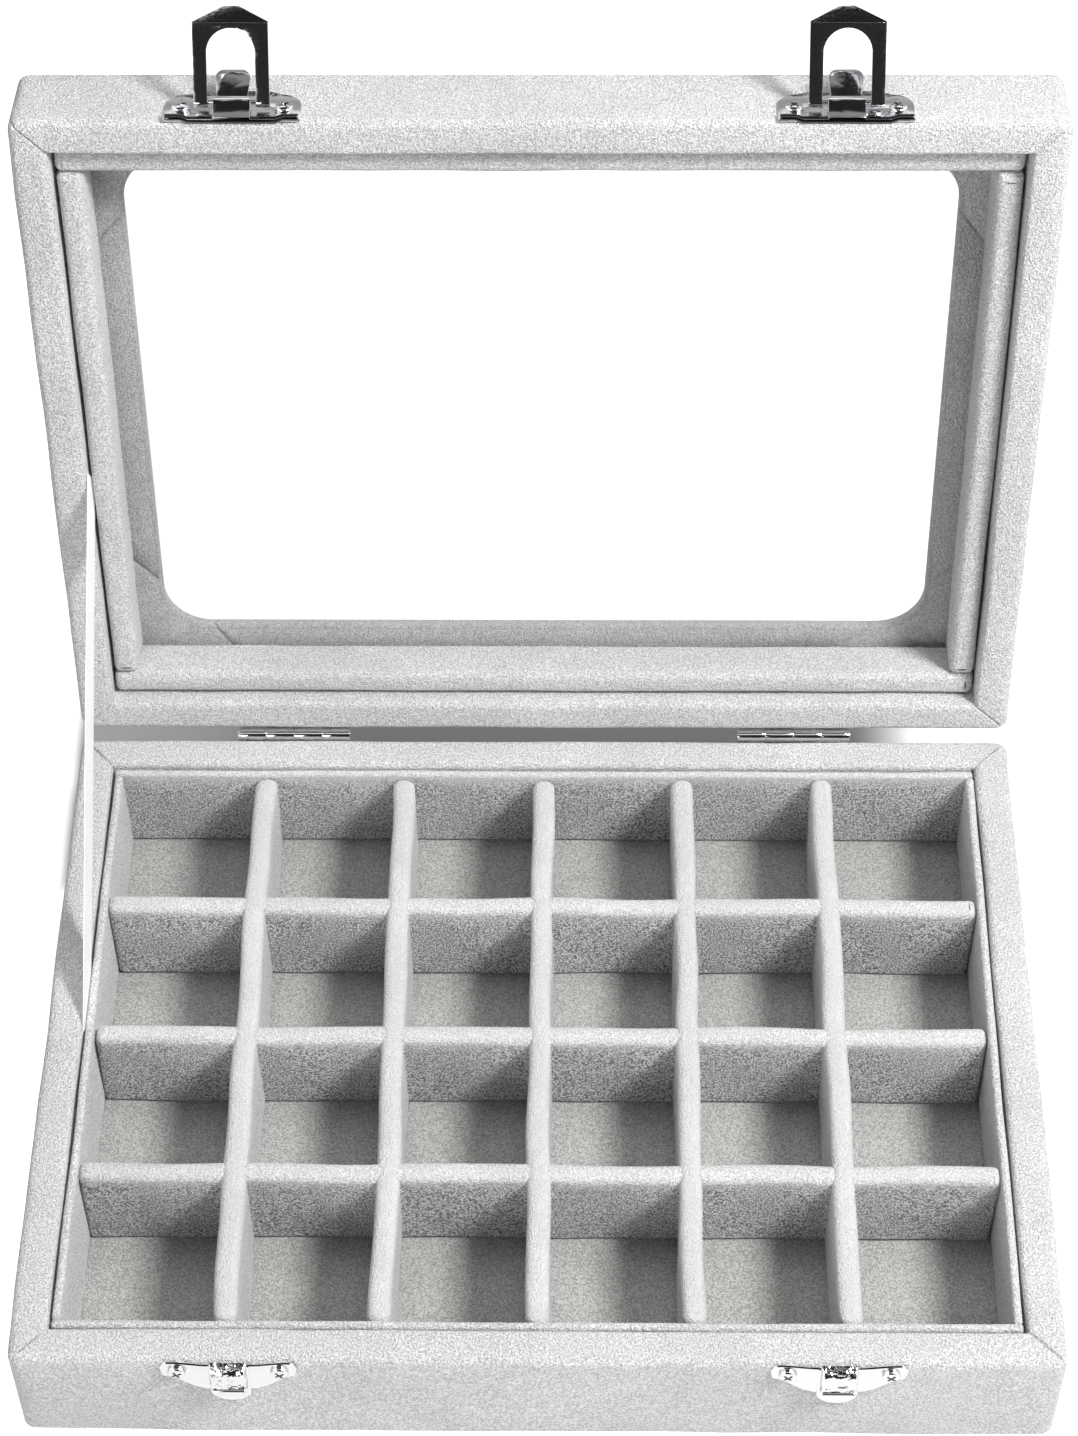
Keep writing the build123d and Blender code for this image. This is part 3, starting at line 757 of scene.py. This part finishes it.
def pressed_copy(node, edge):
    """A merged copy of a pressed metal node with its edges softened."""
    bpy.ops.object.select_all(action="DESELECT")
    copy = frame["nodes"][node].copy()
    copy.data = copy.data.copy()
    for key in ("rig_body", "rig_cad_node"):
        del copy[key]
    copy.parent = None
    copy.name = node + "_plated"
    bpy.context.scene.collection.objects.link(copy)
    copy.select_set(True)
    bpy.context.view_layer.objects.active = copy
    bpy.ops.object.mode_set(mode="EDIT")
    bpy.ops.mesh.select_all(action="SELECT")
    bpy.ops.mesh.remove_doubles(threshold=0.000002)
    bpy.ops.mesh.dissolve_limited(angle_limit=radians(3))
    bpy.ops.object.mode_set(mode="OBJECT")
    soft = copy.modifiers.new("soft_edges", "BEVEL")
    soft.width = edge
    soft.segments = 2
    soft.limit_method = "ANGLE"
    soft.angle_limit = radians(35)
    bpy.ops.object.modifier_apply(modifier=soft.name)
    return copy


for node in sorted(frame["nodes"]):
    if frame["nodes"][node].hide_render:
        continue
    if node.endswith(("_plate", "_loop", "_catch", "_leaf", "_pin")):
        metal = pressed_copy(node, 0.0003 if node.endswith("_loop") else 0.00015)
        stand_for(metal, node, bright_nickel)


# Rolled edge of the hasp plates
# The lower edge of each plate is rolled over, so that the sheet doesn't cut the velvet. The fold
# is painted dark, a painted shade for the shadow in the gap under the plate's edge.
shade_painted_nickel = bright_nickel.copy()
shade_painted_nickel.name = "nickel_plate_painted_shade"
for node in shade_painted_nickel.node_tree.nodes:
    if node.type == "BSDF_PRINCIPLED":
        node.inputs["Base Color"].default_value = linear("6c6c6f")
roll_radius = 0.0007
roll_length = 0.0252
roll_y = -0.07555
roll_z = 0.0286
step_half_width = 0.0085
step_back = 0.00055
for side, x in (("left", -0.0575), ("right", 0.0575)):
    bpy.ops.object.select_all(action="DESELECT")
    bpy.ops.mesh.primitive_cylinder_add(
        vertices=28,
        radius=roll_radius,
        depth=roll_length,
        location=(x, roll_y, roll_z),
        rotation=(0, radians(90), 0),
    )
    roll = bpy.context.object
    roll.name = side + "_plate_roll"
    bpy.ops.object.transform_apply(location=True, rotation=True, scale=True)
    choose(roll, "EDGE", lambda e: near(e[0].x, e[1].x))
    rounded(0.00025, 3)
    sliced(roll, 0, x - roll_length / 2, x + roll_length / 2, 0.0014)
    # It steps back behind the loop, which hangs flat against the plate when the hasp is shut
    choose(roll, "VERT", lambda v: abs(v[0].x - x) < step_half_width)
    bpy.ops.transform.translate(value=(0, step_back, 0))
    uneven(roll, 0.00005, 4.0 + x)
    swing_open(roll)
    roll.data.materials.append(shade_painted_nickel)
    bpy.ops.object.shade_smooth_by_angle(angle=radians(40))
    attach(roll, "lid")


# Screws
# Small pan-head screws with a cross recess, plated as the sheet metal is. One head is modelled and
# copied, four for each set, on the front or the rear wall of base and lid.
head_radius = 0.00175
head_height = 0.0010
recess_long = 0.0021
recess_wide = 0.0005
bpy.ops.object.select_all(action="DESELECT")
bpy.ops.mesh.primitive_cylinder_add(
    vertices=32,
    radius=head_radius,
    depth=head_height,
    location=(0, 0, head_height / 2),
)
screw_head = bpy.context.object
bpy.ops.object.transform_apply(location=True, rotation=True, scale=True)
choose(screw_head, "EDGE", at_height(head_height))
rounded(0.00055, 4)
choose(screw_head, "FACE", at_height(head_height))
bpy.ops.mesh.inset(thickness=0.00035)
bpy.ops.transform.translate(value=(0, 0, 0.00012))
for half_x, half_y in ((recess_long / 2, recess_wide / 2), (recess_wide / 2, recess_long / 2)):
    hollow(
        screw_head,
        Vector((-half_x, -half_y, head_height * 0.45)),
        Vector((half_x, half_y, head_height * 2)),
    )


def screw_set(node, spots, facing_back):
    """Four screw heads in place for one node, at spots of x, y and z on a shut wall."""
    heads = []
    for i, (x, y, z) in enumerate(spots):
        head = screw_head.copy()
        head.data = screw_head.data.copy()
        bpy.context.scene.collection.objects.link(head)
        tip = Matrix.Rotation(radians(-90 if facing_back else 90), 4, "X")
        spin = Matrix.Rotation(0.5 + 1.7 * i, 4, "Z")
        head.data.transform(Matrix.Translation((x, y, z)) @ tip @ spin)
        heads.append(head)
    bpy.ops.object.select_all(action="DESELECT")
    for head in heads:
        head.select_set(True)
    bpy.context.view_layer.objects.active = heads[0]
    bpy.ops.object.join()
    heads[0].name = node + "_heads"
    if frame["nodes"][node]["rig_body"] == "lid":
        swing_open(heads[0])
    stand_for(heads[0], node, bright_nickel)


front_seat = -0.07545
rear_seat = 0.0756
screw_sets = (
    ("catch_screws", (-0.058, 0.057), 0.0097, front_seat, 0.0252),
    ("hasp_screws", (-0.0575, 0.0575), 0.0097, front_seat, 0.0317),
    ("hinge_base_screws", (-0.054, 0.054), 0.008, rear_seat, 0.02155),
    ("hinge_lid_screws", (-0.054, 0.054), 0.008, rear_seat, 0.03395),
)
for node, middles, half_pitch, seat, height in screw_sets:
    spots = [(x + side * half_pitch, seat, height) for x in middles for side in (-1, 1)]
    screw_set(node, spots, seat == rear_seat)
bpy.data.objects.remove(screw_head)


# Catch hoods
# Each catch is pressed out into a small rounded hood, which the loop of the hasp drops over. The
# press leaves its face dented, and its lower lip is turned in.
dented_nickel = bright_nickel.copy()
dented_nickel.name = "dented_nickel_plate"
for node in dented_nickel.node_tree.nodes:
    if node.type == "BUMP":
        node.inputs["Strength"].default_value = 1.0
        node.inputs["Distance"].default_value = 0.0008
    if node.type == "TEX_NOISE" and node.inputs["Scale"].default_value < 1000:
        node.inputs["Scale"].default_value = 520.0
hood_half_width = 0.0035
hood_front = -0.07745
hood_back = -0.0751
hood_foot = 0.0211
hood_top = 0.0275
brow_round = 0.0021
cheek_round = 0.0007
lip_radius = 0.00048
lip_length = 0.0064
lip_y = -0.0774
lip_z = 0.0208
for side, x in (("left", -0.058), ("right", 0.057)):
    low = Vector((x - hood_half_width, hood_front, hood_foot))
    high = Vector((x + hood_half_width, hood_back, hood_top))
    hood = new_block(side + "_catch_hood", low, high)
    choose(hood, "EDGE", lambda e: at_height(high.z)(e) and all(near(p.y, low.y) for p in e))
    rounded(brow_round, 8)
    choose(
        hood,
        "EDGE",
        lambda e: near(e[0].x, e[1].x) and max(p.y for p in e) < high.y - 0.0001,
    )
    rounded(cheek_round, 4)
    choose(hood, "FACE", at_height(low.z))
    bpy.ops.mesh.inset(thickness=0.0005)
    bpy.ops.mesh.extrude_region_move(TRANSFORM_OT_translate={"value": (0, 0, -0.0004)})
    bpy.ops.object.mode_set(mode="OBJECT")
    hood.data.materials.append(dented_nickel)
    bpy.ops.object.shade_smooth_by_angle(angle=radians(40))
    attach(hood, "base")
    bpy.ops.object.select_all(action="DESELECT")
    bpy.ops.mesh.primitive_cylinder_add(
        vertices=24,
        radius=lip_radius,
        depth=lip_length,
        location=(x, lip_y, lip_z),
        rotation=(0, radians(90), 0),
    )
    lip = bpy.context.object
    lip.name = side + "_catch_lip"
    bpy.ops.object.transform_apply(location=True, rotation=True, scale=True)
    choose(lip, "EDGE", lambda e: near(e[0].x, e[1].x))
    rounded(0.0002, 3)
    bpy.ops.object.mode_set(mode="OBJECT")
    lip.data.materials.append(bright_nickel)
    bpy.ops.object.shade_smooth_by_angle(angle=radians(40))
    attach(lip, "base")


# Ribbon
# A white satin ribbon, 10 mm wide, whose tails are glued between the walls and the liners at the
# left. Drawn tight it stops the lid, and the real one folds into the case as the lid shuts; here it
# is made drawn tight only.
satin = bpy.data.materials.new("white_satin")
satin.use_nodes = True
tree = satin.node_tree
tree.nodes.clear()
place = add_node(tree, "ShaderNodeTexCoord").outputs["Object"]
threads = add_node(tree, "ShaderNodeTexNoise", {"Vector": place, "Scale": 4000.0, "Detail": 2.0})
bump = add_node(
    tree,
    "ShaderNodeBump",
    {"Height": threads.outputs[0], "Strength": 0.2, "Distance": 0.0001},
)
# A faint glow is painted light that makes the white satin brighter than the light falling on it
cloth = add_node(
    tree,
    "ShaderNodeBsdfPrincipled",
    {
        "Base Color": linear("ffffff"),
        "Emission Color": linear("fbfbff"),
        "Emission Strength": 0.18,
        "Roughness": 0.4,
        "Sheen Weight": 1.0,
        "Sheen Roughness": 0.5,
        "Normal": bump.outputs[0],
    },
)
add_node(tree, "ShaderNodeOutputMaterial", {"Surface": cloth.outputs[0]})
ribbon_width = 0.010
ribbon_tail = 0.008
ribbon_sheet = 0.00014
ribbon_twist = radians(1.0)
# Its middle stays in the slot between wall and liner
base_end = Vector((-0.09252, 0.009, 0.0276))
lid_end = lid_swing @ Vector((-0.09252, 0.017, 0.0279))
ribbon_run = (lid_end - base_end).length
ribbon_length = ribbon_run + 2 * ribbon_tail
up = (lid_end - base_end).normalized()
flat_across = Vector((0, up.z, -up.y))
bpy.ops.object.select_all(action="DESELECT")
bpy.ops.mesh.primitive_plane_add(size=1, location=(0.5, 0, 0))
ribbon = bpy.context.object
ribbon.name = "lid_ribbon"
bpy.ops.object.transform_apply(location=True, rotation=True, scale=True)
sliced(ribbon, 0, 0.0, 1.0, 0.025)
sliced(ribbon, 1, -0.5, 0.5, 0.24)
bpy.ops.object.mode_set(mode="OBJECT")
for vertex in ribbon.data.vertices:
    along, across = vertex.co.x, vertex.co.y
    # It turns most in its lower middle and lies flat where it is glued
    free = max(0.0, (along - 0.07) / 0.86) if along < 0.93 else 1.0
    turn = ribbon_twist * max(0.0, 1 - abs(free - 0.42) / 0.42)
    vertex.co = (
        base_end
        + up * (along * ribbon_length - ribbon_tail)
        + flat_across * across * ribbon_width * cos(turn)
        + Vector((1, 0, 0)) * across * ribbon_width * sin(turn)
    )
woven = ribbon.modifiers.new("woven", "SOLIDIFY")
woven.thickness = ribbon_sheet
woven.offset = 0
bpy.ops.object.select_all(action="DESELECT")
bpy.context.view_layer.objects.active = ribbon
ribbon.select_set(True)
bpy.ops.object.modifier_apply(modifier=woven.name)
bpy.ops.object.shade_smooth_by_angle(angle=radians(40))
ribbon.data.materials.append(satin)
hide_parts("lid_stay_ribbon")
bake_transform(ribbon)
